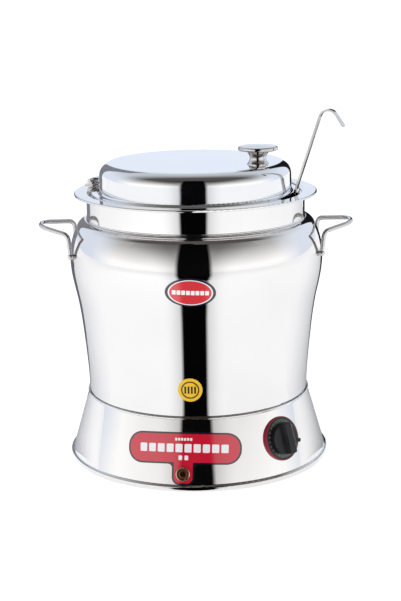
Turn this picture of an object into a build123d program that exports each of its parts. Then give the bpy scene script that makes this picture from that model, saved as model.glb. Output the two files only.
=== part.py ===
from build123d import *

import os
from math import acos, atan2, cos, degrees, radians, sin, sqrt

# Electric soup kettle: a flared base with the controls, an urn housing with a water
# well, and a lift-out soup pot that carries a hinged lid and a ladle.
# Millimetres, +Z up, origin on the vertical axis at the surface it stands on.
# The control label faces -Y; azimuths are degrees counter-clockwise from +X.

# ---- driving dimensions ----
sheet = 1.0  # stainless sheet of every spun shell
pot_radius = 131.5  # inside of the soup pot
pot_depth = 216.7  # inside floor to the top of the rim
pot_corner = 14.0
rim_bend = 4.5  # pot wall into its flat rim, on the inside
rim_overhang = 15.0  # flat rim beyond the neck
rim_bead = 1.4
pot_clearance = 2.5  # pot wall to neck collar
rim_seat_gap = 0.3  # rim above the collar's top edge

neck_height = 33.0
belly_swell = 22.2  # belly beyond the neck
foot_swell = 2.8  # urn's foot beyond the neck
foot_corner = 4.0
crown_radius = 84.4  # shoulder's long arc
crown_turn_radius = 13.7  # shoulder's short arc into the neck
flare_low = (0.33, 0.18)  # share of the height, share of the flare
flare_high = (0.71, 0.62)

foot_rise = 2.0  # floor to the skirt's lower edge
skirt_height = 82.4
skirt_flare = 26.2  # base band beyond the urn's foot
skirt_lip = 0.95  # skirt's top edge beyond the urn's foot
lip_bead = 1.3
band_height = 5.7
ledge_width = 3.1
ledge_rise = 0.4
flange_depth = 26.8  # joint flange, measured in from the urn's foot

heater_space = 23.6  # urn floor to the well's floor
water_gap = 12.0  # well floor to the pot's floor
well_clearance = 0.1  # well wall inside the collar
well_lap = 12.0  # well wall up into the collar
well_corner = 10.0
heater_margin = 38.9
heater_plate_thickness = 4.0
element_radius_wire = 4.0
element_inset = 17.0
element_span = 330.0
element_leg_drop = 34.0
insulation_gap = 1.2
insulation_foot = 55.0
insulation_head = 12.0

lid_gap = 1.5  # lid brim to pot wall
lid_brim_width = 10.0
lid_height = 37.0  # brim to the flat top
lid_taper = 1.2
lid_shoulder = 16.0
lid_brim_drop = 0.7  # brim's top below the rim
lid_hem = 3.7
lid_seat_gap = 0.3
lid_azimuth = -26.0  # the lid's centre line, from hinge to knob and notch
notch_half_angle = 12.0
notch_inset = 2.5
seat_ring_width = 7.0
seat_ring_thickness = 2.0

knob_inset = 35.0  # knob axis in from the lid's wall
knob_foot_radius = 13.0
knob_foot_edge = 0.8
knob_waist_radius = 10.0
knob_waist_height = 6.5
knob_flare_radius = 16.0
knob_disc_radius = 24.2
knob_disc_thickness = 6.0
knob_dome = 1.0  # middle of the disc above its edge
knob_height = 22.8
knob_screw_radius = 3.0
knob_screw_reach = 12.0
knob_screw_head_radius = 5.5
knob_screw_head_height = 3.0
knob_washer_radius = 8.0

hinge_reach = 10.5  # hinge axis out from the pot wall
hinge_barrel = 3.5
hinge_leaf_thickness = 1.5
hinge_width = 34.0
hinge_centre_width = 17.4
hinge_pin_radius = 1.6
hinge_gap = 0.3
rim_rivets_out = 3.9  # rim leaf's rivets outside the hinge axis
lid_rivets_in = 16.3  # lid leaf's rivets inside the hinge axis
hinge_rivet_half_pitch = 5.0
hinge_rivet_radius = 1.3
running_clearance = 0.05

ladle_azimuth = -18.0
ladle_lean = 18.2
ladle_wall_gap = 4.0  # handle's centre line to the pot wall, at the rim
ladle_bowl_radius = 40.0
ladle_sheet = 1.2
ladle_strip_thickness = 2.5
ladle_strip_width = 9.0
ladle_floor_gap = 0.3
ladle_foot_angle = 26.0
hook_radius = 10.9
hook_turn = 128.0
hook_rise = 102.0
hook_tail = 16.5
ladle_rivet_radius = 2.0
ladle_rivet_shares = (0.3, 0.72)  # of the strip's foot on the bowl
ladle_rivet_head_radius = 3.2
ladle_rivet_head_height = 1.2

handle_rod = 2.75
handle_reach = 38.3  # outside of the loop beyond the belly
handle_half_width = 47.0
handle_nose_half_width = 17.0
handle_leg_foot = 7.0  # above the belly line
handle_height = 34.0
handle_rise = 5.5
handle_bend = 8.0
handle_nose_bend = 32.0
handle_weld_radius = 3.9

label_azimuth = -97.2
label_thickness = 0.8
label_bar_width = 137.0
label_bar_height = 38.0
label_bar_corner = 17.5
label_tab_width = 27.0
label_tab_length = 25.0
label_tab_corner = 9.0
label_inner_corner = 5.0
label_foot_gap = 0.9
badge_azimuth = -92.8
badge_width = 59.5
badge_height = 34.3
badge_thickness = 1.2
badge_drop = 62.0  # badge centre below the shoulder
badge_tilt = -1.8
sticker_azimuth = -94.0
sticker_radius = 14.6
sticker_thickness = 0.4
sticker_rise = 36.5  # sticker centre above the urn's floor

lamp_radius = 6.0
lamp_bezel_radius = 8.5
lamp_bezel_height = 3.0
lamp_lens_radius = 5.7
lamp_depth = 22.0
lamp_foot_gap = 13.0  # lamp axis above the label's foot, along the slope

dial_azimuth = -48.0
dial_lift = 2.65  # above the skirt's mid height
dial_radius = 27.0
dial_thickness = 2.0
dial_recess = 9.5
grip_radius = 19.5
grip_height = 17.0
grip_bar_width = 10.0
grip_edge = 1.2
bar_edge = 1.0
scoop_radius = 14.0
scoop_lift = 5.0  # scoop axis above the grip's face
pointer_radius = 24.0
pointer_width = 12.0
pointer_tip = 4.0
pointer_top = 12.0
pointer_turn = -22.0  # pointer from the grip bar's right-hand normal
knob_lift = 0.5
knob_rest_turn = 3.0
knob_shell = 2.5
shaft_radius = 3.0
shaft_length = 12.0
bushing_radius = 5.0
thermostat_size = (42.0, 38.0, 30.0)
thermostat_setback = 4.0
capillary_radius = 1.0
bulb_radius = 3.0
bulb_length = 45.0
bulb_lane = 9.0  # outside the heater plate

gland_azimuth = 90.0
gland_height = 26.0
gland_bore = 4.0
gland_radius = 8.0
gland_flange = 11.0
gland_flange_thickness = 4.0
gland_depth = 14.0

plate_gap = 0.3
plate_thickness = 1.2
plate_edge_gap = 0.5
foot_radius_rubber = 11.0
foot_setback = 25.0
screw_radius = 2.0
bolt_radius = 2.5
bolt_count = 6
hole_clearance = 0.25
vent_rings = ((60.0, 12), (85.0, 18), (110.0, 24))
vent_radius = 4.0

# ---- places worked out from them ----
neck_radius = pot_radius + sheet + pot_clearance + sheet
collar_inner = neck_radius - sheet
rim_radius = neck_radius + rim_overhang
foot_radius = neck_radius + foot_swell
belly_radius = neck_radius + belly_swell
base_radius = foot_radius + skirt_flare
skirt_top_radius = foot_radius + skirt_lip
cone_foot_radius = base_radius - ledge_width
joint_flange = foot_radius - flange_depth
bolt_circle = joint_flange + 8.0

housing_floor = foot_rise + skirt_height
well_floor = housing_floor + heater_space
pot_floor = well_floor + sheet + water_gap
rim_top = pot_floor + sheet + pot_depth
shoulder_top = rim_top - neck_height
crown_angle = degrees(
    acos((neck_radius - belly_radius + crown_radius) / (crown_radius - crown_turn_radius))
)
belly_height = (
    shoulder_top
    - crown_turn_radius
    - (crown_radius - crown_turn_radius) * sin(radians(crown_angle))
)
mouth_radius = collar_inner
well_outer = collar_inner - well_clearance
well_inner = well_outer - sheet
cone_foot = foot_rise + band_height + ledge_rise
skirt_slope = atan2(cone_foot_radius - skirt_top_radius, housing_floor - cone_foot)
heater_plate_radius = well_inner - heater_margin
element_ring = heater_plate_radius - element_inset
UP = Vector(0, 0, 1)

os.makedirs("parts", exist_ok=True)


def save(piece, name):
    """Label a finished piece and write it."""
    piece.part.label = name
    export_step(piece.part, f"parts/{name}.step")


def radial(azimuth):
    """Unit vector straight out from the vertical axis."""
    return Vector(cos(radians(azimuth)), sin(radians(azimuth)), 0)


def upright_plane(azimuth, origin=(0, 0, 0)):
    """Vertical plane through an azimuth: x runs outwards, y runs up."""
    return Plane(origin, x_dir=radial(azimuth), z_dir=radial(azimuth).cross(UP))


def turned(plane, angle):
    """The same plane with its x direction turned about its normal."""
    way = plane.x_dir * cos(radians(angle)) + plane.y_dir * sin(radians(angle))
    return Plane(plane.origin, x_dir=way, z_dir=plane.z_dir)


def skirt_plane(azimuth, height, lift=0.0):
    """Plane on the skirt's cone: x along the tangent, y up the slope, z outwards."""
    share = (height - cone_foot) / (housing_floor - cone_foot)
    radius = cone_foot_radius + share * (skirt_top_radius - cone_foot_radius)
    normal = radial(azimuth) * cos(skirt_slope) + UP * sin(skirt_slope)
    origin = radial(azimuth) * radius + UP * height + normal * lift
    return Plane(origin, x_dir=UP.cross(radial(azimuth)), z_dir=normal)


def outward(plane):
    """Axis that leaves a plane at right angles, for sorting faces along it."""
    return Axis(plane.origin, plane.z_dir)


def cone_outline(lift):
    """Filled half outline of the skirt's cone, grown outwards by lift."""
    grow = lift / cos(skirt_slope)
    Polyline(
        (0, cone_foot),
        (cone_foot_radius + grow, cone_foot),
        (skirt_top_radius + grow, housing_floor),
        (0, housing_floor),
        close=True,
    )


def urn_outline(inset, floor_edge, mouth_edge):
    """Half outline of the urn from its floor to its mouth, inset from the outer face."""
    corner_height = housing_floor + foot_corner
    rise = belly_height - corner_height
    swell = belly_radius - foot_radius
    flare_points = [
        (foot_radius - inset + radius_share * swell, corner_height + height_share * rise)
        for height_share, radius_share in ((0, 0), flare_low, flare_high, (1, 1))
    ]
    crown_centre = (belly_radius - crown_radius, belly_height)
    turn_centre = (neck_radius, shoulder_top - crown_turn_radius)
    Line(
        (floor_edge, housing_floor + inset),
        (foot_radius - foot_corner, housing_floor + inset),
    )
    CenterArc((foot_radius - foot_corner, corner_height), foot_corner - inset, -90, 90)
    Spline(*flare_points, tangents=((0, 1), (0, 1)))
    CenterArc(crown_centre, crown_radius - inset, 0, crown_angle)
    CenterArc(turn_centre, crown_turn_radius - inset, crown_angle, 90 - crown_angle)
    Line((neck_radius, shoulder_top - inset), (mouth_edge, shoulder_top - inset))


def urn_solid(inset):
    """The urn's shape as one filled body, used to trim what lies on it or in it."""
    with BuildPart() as urn:
        with BuildSketch(Plane.XZ):
            with BuildLine():
                urn_outline(inset, 0, 0)
                Line((0, shoulder_top - inset), (0, housing_floor + inset))
            make_face()
        revolve(axis=Axis.Z)
    return urn.part


def cone_solid(lift):
    """The skirt's cone as one filled body, used to trim what lies on it."""
    with BuildPart() as cone:
        with BuildSketch(Plane.XZ):
            with BuildLine():
                cone_outline(lift)
            make_face()
        revolve(axis=Axis.Z)
    return cone.part


def nut(plane, across, height, bore, points):
    """Hexagon nuts standing on a plane, one at each point."""
    with BuildPart() as nuts:
        with BuildSketch(plane):
            with Locations(*points):
                RegularPolygon(across / 2, 6, major_radius=False)
                Circle(bore, mode=Mode.SUBTRACT)
        extrude(amount=height)
    return nuts


urn_face = urn_solid(0)
cone_face = cone_solid(0)
bolt_points = [tuple(radial(i * 360 / bolt_count) * bolt_circle) for i in range(bolt_count)]
corner_azimuths = (45, 135, 225, 315)
corner_points = [tuple(radial(azimuth) * (base_radius - foot_setback)) for azimuth in corner_azimuths]

# ---- base ----
lamp_height = cone_foot + label_foot_gap + lamp_foot_gap * cos(skirt_slope)
lamp_plane = skirt_plane(label_azimuth, lamp_height)
dial_height = (cone_foot + housing_floor) / 2 + dial_lift
dial_plane = skirt_plane(dial_azimuth, dial_height)
gland_plane = skirt_plane(gland_azimuth, gland_height)

with BuildPart() as base_skirt:
    with BuildSketch(Plane.XZ):
        with BuildLine():
            FilletPolyline(
                (base_radius, foot_rise),
                (base_radius, foot_rise + band_height),
                (cone_foot_radius, cone_foot),
                (skirt_top_radius, housing_floor),
                (joint_flange, housing_floor),
                radius=[1.4, 2.0, 1.6],
            )
            offset(amount=sheet, side=Side.LEFT)
        make_face()
        with Locations((skirt_top_radius, housing_floor + lip_bead / 2)):
            Circle(lip_bead)
    revolve(axis=Axis.Z)
    for plane, radius in (
        (lamp_plane, lamp_radius + hole_clearance),
        (dial_plane, bushing_radius + hole_clearance),
        (gland_plane, gland_radius + hole_clearance),
    ):
        with BuildSketch(plane.offset(-10)):
            Circle(radius)
        extrude(amount=20, mode=Mode.SUBTRACT)
    with BuildSketch(Plane.XY.offset(housing_floor - 2 * sheet)):
        with Locations(*bolt_points):
            Circle(bolt_radius + hole_clearance)
    extrude(amount=3 * sheet, mode=Mode.SUBTRACT)
save(base_skirt, "base_skirt")

plate_top = foot_rise + band_height - sheet - plate_gap
with BuildPart() as base_plate:
    with BuildSketch(Plane.XY.offset(plate_top - plate_thickness)):
        Circle(base_radius - sheet - plate_edge_gap)
        with Locations(*corner_points):
            Circle(screw_radius + hole_clearance, mode=Mode.SUBTRACT)
        for ring_radius, count in vent_rings:
            with PolarLocations(ring_radius, count):
                Circle(vent_radius, mode=Mode.SUBTRACT)
    extrude(amount=plate_thickness)
save(base_plate, "base_plate")

bracket_thickness = 2.0
bracket_height = 14.0
bracket_angle = 7.0
bracket_lap = 7.0  # inside the foot screws
bracket_gap = 1.5  # to the skirt at the foot
bracket_kick = 2.4
screw_circle = base_radius - foot_setback
with BuildPart() as base_brackets:
    for azimuth in corner_azimuths:
        with BuildSketch(upright_plane(azimuth - bracket_angle / 2)):
            with BuildLine():
                lean = bracket_height * (cone_foot_radius - skirt_top_radius)
                lean = lean / (housing_floor - cone_foot)
                inner = cone_foot_radius - sheet / cos(skirt_slope) - 0.1
                edge = plate_top + bracket_kick
                Polyline(
                    (screw_circle - bracket_lap, plate_top),
                    (inner - bracket_gap, plate_top),
                    (inner - bracket_gap, edge),
                    (inner - lean, cone_foot + bracket_height),
                    (inner - lean - bracket_thickness, cone_foot + bracket_height),
                    (inner - bracket_gap - bracket_thickness, plate_top + bracket_thickness),
                    (screw_circle - bracket_lap, plate_top + bracket_thickness),
                    close=True,
                )
            make_face()
        revolve(axis=Axis.Z, revolution_arc=bracket_angle)
    with BuildSketch(Plane.XY.offset(plate_top)):
        with Locations(*corner_points):
            Circle(screw_radius + hole_clearance)
    extrude(amount=bracket_thickness, mode=Mode.SUBTRACT)
save(base_brackets, "base_brackets")

foot_nut_width = 7.0
foot_nut_height = 3.2
bracket_nuts = nut(
    Plane.XY.offset(plate_top + bracket_thickness),
    foot_nut_width,
    foot_nut_height,
    screw_radius + running_clearance,
    corner_points,
)
save(bracket_nuts, "bracket_nuts")

foot_height = plate_top - plate_thickness
screw_head_seat = 3.0
screw_recess = 4.5
screw_head_radius = 3.8
screw_head_height = 2.2
screw_end = 5.0
foot_edge = 0.8
with BuildPart() as feet:
    with Locations(*corner_points):
        Cylinder(foot_radius_rubber, foot_height, align=(Align.CENTER, Align.CENTER, Align.MIN))
    fillet(feet.edges().group_by(Axis.Z)[0], foot_edge)
    with Locations(*[(x, y, 0) for x, y, z in corner_points]):
        Cylinder(
            screw_recess,
            screw_head_seat,
            align=(Align.CENTER, Align.CENTER, Align.MIN),
            mode=Mode.SUBTRACT,
        )
        Cylinder(
            screw_radius + hole_clearance,
            foot_height,
            align=(Align.CENTER, Align.CENTER, Align.MIN),
            mode=Mode.SUBTRACT,
        )
save(feet, "feet")

with BuildPart() as foot_screws:
    with BuildSketch(Plane.XY.offset(screw_head_seat - screw_head_height)):
        with Locations(*corner_points):
            Circle(screw_head_radius)
    extrude(amount=screw_head_height)
    with BuildSketch(Plane.XY.offset(screw_head_seat)):
        with Locations(*corner_points):
            Circle(screw_radius)
    extrude(amount=plate_top + bracket_thickness + screw_end - screw_head_seat)
save(foot_screws, "foot_screws")

# ---- urn housing ----
with BuildPart() as housing_shell:
    with BuildSketch(Plane.XZ):
        with BuildLine():
            urn_outline(0, joint_flange, mouth_radius)
            urn_outline(sheet, joint_flange, mouth_radius)
            Line((joint_flange, housing_floor), (joint_flange, housing_floor + sheet))
            Line((mouth_radius, shoulder_top), (mouth_radius, shoulder_top - sheet))
        make_face()
    revolve(axis=Axis.Z)
    with BuildSketch(Plane.XY.offset(housing_floor)):
        with Locations(*bolt_points):
            Circle(bolt_radius + hole_clearance)
    extrude(amount=sheet, mode=Mode.SUBTRACT)
save(housing_shell, "housing_shell")

element_leg_azimuths = (90 - (360 - element_span) / 2, 90 + (360 - element_span) / 2)
leg_points = [tuple(radial(azimuth) * element_ring) for azimuth in element_leg_azimuths]
bush_radius = 7.0
capillary_point = radial(dial_azimuth) * (heater_plate_radius + bulb_lane)
floor_plate = housing_floor + sheet
floor_plate_thickness = 1.2
floor_plate_margin = 7.0  # beyond the bolt circle
grommet_radius = 4.0
fit_gap = 0.1
with BuildPart() as floor_disc:
    with BuildSketch(Plane.XY.offset(floor_plate)):
        Circle(bolt_circle + floor_plate_margin)
        with Locations(*bolt_points):
            Circle(bolt_radius + hole_clearance, mode=Mode.SUBTRACT)
        with Locations(*leg_points):
            Circle(bush_radius + fit_gap, mode=Mode.SUBTRACT)
        with Locations(tuple(capillary_point)):
            Circle(grommet_radius, mode=Mode.SUBTRACT)
    extrude(amount=floor_plate_thickness)
save(floor_disc, "floor_disc")

joint_top = floor_plate + floor_plate_thickness
joint_bottom = housing_floor - sheet
bolt_head_height = 3.5
bolt_nut_width = 8.0
bolt_nut_height = 4.0
bolt_end = 5.5
with BuildPart() as joint_bolts:
    with BuildSketch(Plane.XY.offset(joint_bottom - bolt_head_height)):
        with Locations(*bolt_points):
            RegularPolygon(bolt_nut_width / 2, 6, major_radius=False)
    extrude(amount=bolt_head_height)
    with BuildSketch(Plane.XY.offset(joint_bottom)):
        with Locations(*bolt_points):
            Circle(bolt_radius)
    extrude(amount=joint_top - joint_bottom + bolt_end)
save(joint_bolts, "joint_bolts")

joint_nuts = nut(
    Plane.XY.offset(joint_top),
    bolt_nut_width,
    bolt_nut_height,
    bolt_radius + running_clearance,
    bolt_points,
)
save(joint_nuts, "joint_nuts")

collar_top = rim_top - sheet - rim_seat_gap
collar_bead = 1.0
with BuildPart() as neck_collar:
    with BuildSketch(Plane.XZ):
        with Locations((collar_inner, shoulder_top)):
            Rectangle(sheet, collar_top - shoulder_top, align=(Align.MIN, Align.MIN))
        with Locations((neck_radius, shoulder_top + collar_bead)):
            Circle(collar_bead)
    revolve(axis=Axis.Z)
save(neck_collar, "neck_collar")

with BuildPart() as water_well:
    with BuildSketch(Plane.XZ):
        with BuildLine():
            FilletPolyline(
                (0, well_floor),
                (well_outer, well_floor),
                (well_outer, shoulder_top + well_lap),
                radius=well_corner,
            )
            offset(amount=sheet, side=Side.LEFT)
        make_face()
    revolve(axis=Axis.Z)
save(water_well, "water_well")

with BuildPart() as insulation:
    with BuildSketch(Plane.XZ):
        with BuildLine():
            urn_outline(sheet + insulation_gap, 0, 0)
            Line(
                (0, shoulder_top - sheet - insulation_gap),
                (0, housing_floor + sheet + insulation_gap),
            )
        make_face()
        with Locations((well_outer + insulation_gap, well_floor + insulation_foot)):
            Rectangle(
                belly_radius,
                shoulder_top - insulation_head - well_floor - insulation_foot,
                align=(Align.MIN, Align.MIN),
                mode=Mode.INTERSECT,
            )
    revolve(axis=Axis.Z)
save(insulation, "insulation")

# ---- heater, between the urn's floor and the well ----
plate_under = well_floor - heater_plate_thickness
clamp_thickness = 2.0
clamp_width = 20.0
clamp_bolt_radius = 3.0
with BuildPart() as heater_plate:
    with BuildSketch(Plane.XY.offset(plate_under)):
        Circle(heater_plate_radius)
    extrude(amount=heater_plate_thickness)
    with BuildSketch(Plane.XY.offset(plate_under)):
        Circle(clamp_bolt_radius + running_clearance)
    extrude(amount=heater_plate_thickness - 0.5, mode=Mode.SUBTRACT)
save(heater_plate, "heater_plate")

element_height = plate_under - element_radius_wire
start_azimuth = element_leg_azimuths[1]
with BuildPart() as heating_element:
    with BuildSketch(upright_plane(start_azimuth)):
        with Locations((element_ring, element_height)):
            Circle(element_radius_wire)
    revolve(axis=Axis.Z, revolution_arc=element_span)
    with Locations(*[(x, y, element_height) for x, y, z in leg_points]):
        Sphere(element_radius_wire)
        Cylinder(
            element_radius_wire,
            element_leg_drop,
            align=(Align.CENTER, Align.CENTER, Align.MAX),
        )
save(heating_element, "heating_element")

with BuildPart() as element_bushes:
    with BuildSketch(Plane.XY.offset(housing_floor - 4)):
        with Locations(*leg_points):
            Circle(bush_radius)
            Circle(element_radius_wire + running_clearance, mode=Mode.SUBTRACT)
    extrude(amount=joint_top - housing_floor + 4)
save(element_bushes, "element_bushes")

element_foot = element_height - element_leg_drop
blade_length = 12.0
blade_width = 6.3
blade_thickness = 0.8
with BuildPart() as element_terminals:
    with BuildSketch(Plane.XY.offset(element_foot - blade_length)):
        with Locations(*leg_points):
            Rectangle(blade_width, blade_thickness)
    extrude(amount=blade_length)
save(element_terminals, "element_terminals")

clamp_top = element_height - element_radius_wire
clamp_lap = 7.0  # beyond the element's ring
clamp_corner = 3.0
clamp_head_height = 2.4
with BuildPart() as element_clamp:
    with BuildSketch(Plane.XY.offset(clamp_top - clamp_thickness)):
        Rectangle(2 * (element_ring + clamp_lap), clamp_width)
        Circle(clamp_bolt_radius + hole_clearance, mode=Mode.SUBTRACT)
    extrude(amount=clamp_thickness)
    fillet(element_clamp.edges().filter_by(Axis.Z).group_by(SortBy.LENGTH)[-1], clamp_corner)
save(element_clamp, "element_clamp")

with BuildPart() as clamp_bolt:
    with BuildSketch(Plane.XY.offset(clamp_top - clamp_thickness)):
        Circle(clamp_bolt_radius)
    extrude(amount=plate_under + heater_plate_thickness - 1 - clamp_top + clamp_thickness)
    with BuildSketch(Plane.XY.offset(clamp_top - clamp_thickness)):
        RegularPolygon(5.0, 6, major_radius=False)
    extrude(amount=-clamp_head_height)
save(clamp_bolt, "clamp_bolt")

cutout_place = (0, -element_ring / 2)
cutout_radius = 8.0
cutout_height = 6.0
cutout_strap_length = 30.0
cutout_strap_thickness = 1.2
cutout_blade_drop = 10.0
cutout_blade_length = 5.0
with BuildPart() as thermal_cutout:
    with BuildSketch(Plane.XY.offset(plate_under - cutout_height)):
        with Locations(cutout_place):
            Circle(cutout_radius)
    extrude(amount=cutout_height)
    with BuildSketch(Plane.XY.offset(plate_under - cutout_strap_thickness)):
        with Locations(cutout_place):
            Rectangle(cutout_strap_length, cutout_radius)
    extrude(amount=cutout_strap_thickness)
    with BuildSketch(Plane.XY.offset(plate_under - cutout_blade_drop)):
        with Locations(cutout_place):
            with GridLocations(cutout_radius, 1, 2, 1):
                Rectangle(blade_thickness, cutout_blade_length)
    extrude(amount=cutout_blade_length)
save(thermal_cutout, "thermal_cutout")

shield_lift = 2.5
shield_thickness = 0.8
shield_margin = 4.0  # beyond the heater plate
spacer_inset = 10.0
spacer_azimuths = (30, 150, 270)
shield_radius = heater_plate_radius + shield_margin
spacer_points = [
    tuple(radial(azimuth) * (shield_radius - spacer_inset)) for azimuth in spacer_azimuths
]
with BuildPart() as heat_shield:
    with BuildSketch(Plane.XY.offset(joint_top + shield_lift)):
        Circle(shield_radius)
        with Locations(*leg_points):
            Circle(element_radius_wire + 2, mode=Mode.SUBTRACT)
    extrude(amount=shield_thickness)
save(heat_shield, "heat_shield")

with BuildPart() as shield_spacers:
    with BuildSketch(Plane.XY.offset(joint_top)):
        with Locations(*spacer_points):
            Circle(5)
    extrude(amount=shield_lift)
save(shield_spacers, "shield_spacers")

# ---- thermostat, dial and control knob ----
with BuildPart() as dial_plate:
    with BuildSketch(dial_plane.offset(-6)):
        Circle(dial_radius)
        Circle(dial_recess, mode=Mode.SUBTRACT)
    extrude(amount=6 + dial_thickness)
    fillet(dial_plate.edges().filter_by(GeomType.CIRCLE).group_by(SortBy.RADIUS)[-1][-1], 0.6)
    add(cone_face, mode=Mode.SUBTRACT)
save(dial_plate, "dial_plate")

with BuildPart() as thermostat_body:
    with BuildSketch(dial_plane.offset(-thermostat_setback)):
        RectangleRounded(thermostat_size[0], thermostat_size[1], 4)
    extrude(amount=-thermostat_size[2])
    with BuildSketch(dial_plane.offset(-thermostat_setback)):
        Circle(bushing_radius)
    extrude(amount=thermostat_setback + 2)
    with BuildSketch(dial_plane.offset(2)):
        Circle(shaft_radius + running_clearance)
    extrude(amount=-14, mode=Mode.SUBTRACT)
save(thermostat_body, "thermostat_body")

thermostat_nut_height = 2.4
with BuildPart() as thermostat_nut:
    with BuildSketch(dial_plane.offset(-1)):
        RegularPolygon(7.0, 6, major_radius=False)
        Circle(bushing_radius + running_clearance, mode=Mode.SUBTRACT)
    extrude(amount=1 + thermostat_nut_height)
    add(cone_face, mode=Mode.SUBTRACT)
save(thermostat_nut, "thermostat_nut")

shaft_inside = 10.0
with BuildPart() as thermostat_shaft:
    with BuildSketch(dial_plane.offset(-shaft_inside)):
        Circle(shaft_radius)
    extrude(amount=shaft_inside + shaft_length)
save(thermostat_shaft, "thermostat_shaft")

knob_foot = dial_thickness + knob_lift
knob_plane = turned(dial_plane, knob_rest_turn)
scoop_plane = Plane(knob_plane.origin, x_dir=knob_plane.x_dir, z_dir=-knob_plane.y_dir)
scoop_out = grip_bar_width / 2 + sqrt(scoop_radius**2 - scoop_lift**2)
boss_radius = shaft_radius + 3.5
nut_room = 8.6
with BuildPart() as control_knob:
    with BuildSketch(knob_plane.offset(knob_foot)):
        Circle(grip_radius)
    extrude(amount=grip_height - knob_foot)
    fillet(control_knob.faces().sort_by(outward(knob_plane))[-1].edges(), grip_edge)
    with BuildSketch(turned(knob_plane, pointer_turn).offset(knob_foot)):
        Polygon(
            (0, -pointer_width / 2),
            (pointer_radius, -pointer_tip / 2),
            (pointer_radius, pointer_tip / 2),
            (0, pointer_width / 2),
            align=None,
        )
    extrude(amount=pointer_top - knob_foot)
    with BuildSketch(scoop_plane):
        with Locations((-scoop_out, grip_height + scoop_lift), (scoop_out, grip_height + scoop_lift)):
            Circle(scoop_radius)
    extrude(amount=2 * grip_radius, both=True, mode=Mode.SUBTRACT)
    grip_face = control_knob.faces().sort_by(outward(knob_plane))[-1]
    fillet(grip_face.edges().filter_by(GeomType.LINE), bar_edge)
    with BuildSketch(knob_plane.offset(knob_foot)):
        Circle(grip_radius - knob_shell)
        Circle(boss_radius, mode=Mode.SUBTRACT)
    extrude(amount=knob_shell, mode=Mode.SUBTRACT)
    with BuildSketch(knob_plane.offset(knob_foot)):
        Circle(nut_room)
    extrude(amount=1.0, mode=Mode.SUBTRACT)
    with BuildSketch(knob_plane.offset(knob_foot)):
        Circle(shaft_radius + running_clearance)
    extrude(amount=shaft_length + 0.5 - knob_foot, mode=Mode.SUBTRACT)
save(control_knob, "control_knob")

bulb_height = well_floor - bulb_radius - 0.3
rear_depth = thermostat_setback + thermostat_size[2]
exit_height = dial_height - rear_depth * sin(skirt_slope)
exit_point = dial_plane.origin - dial_plane.z_dir * rear_depth
tangent = UP.cross(radial(dial_azimuth))
bulb_lead = 30.0
capillary_low_bend = 5.0
capillary_high_bend = 8.0
riser_foot = capillary_point + UP * exit_height
riser_head = capillary_point + UP * bulb_height
bulb_start = riser_head - tangent * bulb_lead
with BuildPart() as capillary_bulb:
    with BuildLine():
        FilletPolyline(
            exit_point,
            riser_foot,
            riser_head,
            bulb_start,
            radius=[capillary_low_bend, capillary_high_bend],
        )
    with BuildSketch(Plane(exit_point, z_dir=riser_foot - exit_point)):
        Circle(capillary_radius)
    sweep()
    with BuildSketch(Plane(bulb_start, z_dir=-tangent)):
        Circle(bulb_radius)
    extrude(amount=bulb_length)
save(capillary_bulb, "capillary_bulb")

clip_thickness = 1.2
clip_steps = (10.0, 35.0)
with BuildPart() as bulb_clips:
    for step in clip_steps:
        clip_place = bulb_start - tangent * step
        with BuildSketch(Plane(clip_place, x_dir=UP, z_dir=-tangent)):
            Circle(bulb_radius + running_clearance + clip_thickness)
            Circle(bulb_radius + running_clearance, mode=Mode.SUBTRACT)
            with Locations((well_floor - bulb_height + 2, 0)):
                Rectangle(4, 14, mode=Mode.SUBTRACT)
            with Locations((well_floor - bulb_height - 0.3, 7), (well_floor - bulb_height - 0.3, -7)):
                Rectangle(0.6, 8)
        extrude(amount=6)
save(bulb_clips, "bulb_clips")

# ---- label, pilot lamp, badge and sticker ----
label_foot = cone_foot + label_foot_gap
label_middle = label_foot + (label_tab_length + label_bar_height / 2) * cos(skirt_slope)
with BuildPart() as control_label:
    with BuildSketch(skirt_plane(label_azimuth, label_middle).offset(-30)):
        RectangleRounded(label_bar_width, label_bar_height, label_bar_corner)
        with BuildSketch(mode=Mode.PRIVATE) as tab:
            with Locations((0, -label_bar_height / 2 + 5)):
                Rectangle(
                    label_tab_width,
                    label_tab_length + 5,
                    align=(Align.CENTER, Align.MAX),
                )
            fillet(tab.vertices().group_by(Axis.Y)[0], label_tab_corner)
        add(tab.sketch)
    extrude(amount=45)
    inner_corners = control_label.edges().filter_by(
        lambda edge: edge.length > 40
        and abs(abs((edge.center() - skirt_plane(label_azimuth, label_middle).origin).dot(
            skirt_plane(label_azimuth, label_middle).x_dir)) - label_tab_width / 2) < 0.1
        and abs((edge.center() - skirt_plane(label_azimuth, label_middle).origin).dot(
            skirt_plane(label_azimuth, label_middle).y_dir) + label_bar_height / 2) < 0.1
    )
    fillet(inner_corners, label_inner_corner)
    add(cone_solid(label_thickness), mode=Mode.INTERSECT)
    add(cone_face, mode=Mode.SUBTRACT)
    with BuildSketch(lamp_plane.offset(-5)):
        Circle(lamp_radius + hole_clearance)
    extrude(amount=12, mode=Mode.SUBTRACT)
save(control_label, "control_label")

lamp_foot = label_thickness
with BuildPart() as pilot_lamp_bezel:
    with BuildSketch(lamp_plane.offset(lamp_foot - 1)):
        Circle(lamp_bezel_radius)
        Circle(lamp_radius + running_clearance, mode=Mode.SUBTRACT)
    extrude(amount=1 + lamp_bezel_height)
    fillet(
        pilot_lamp_bezel.faces().sort_by(outward(lamp_plane))[-1].edges().sort_by(SortBy.RADIUS)[-1],
        1.0,
    )
    add(cone_solid(label_thickness), mode=Mode.SUBTRACT)
save(pilot_lamp_bezel, "pilot_lamp_bezel")

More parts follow.
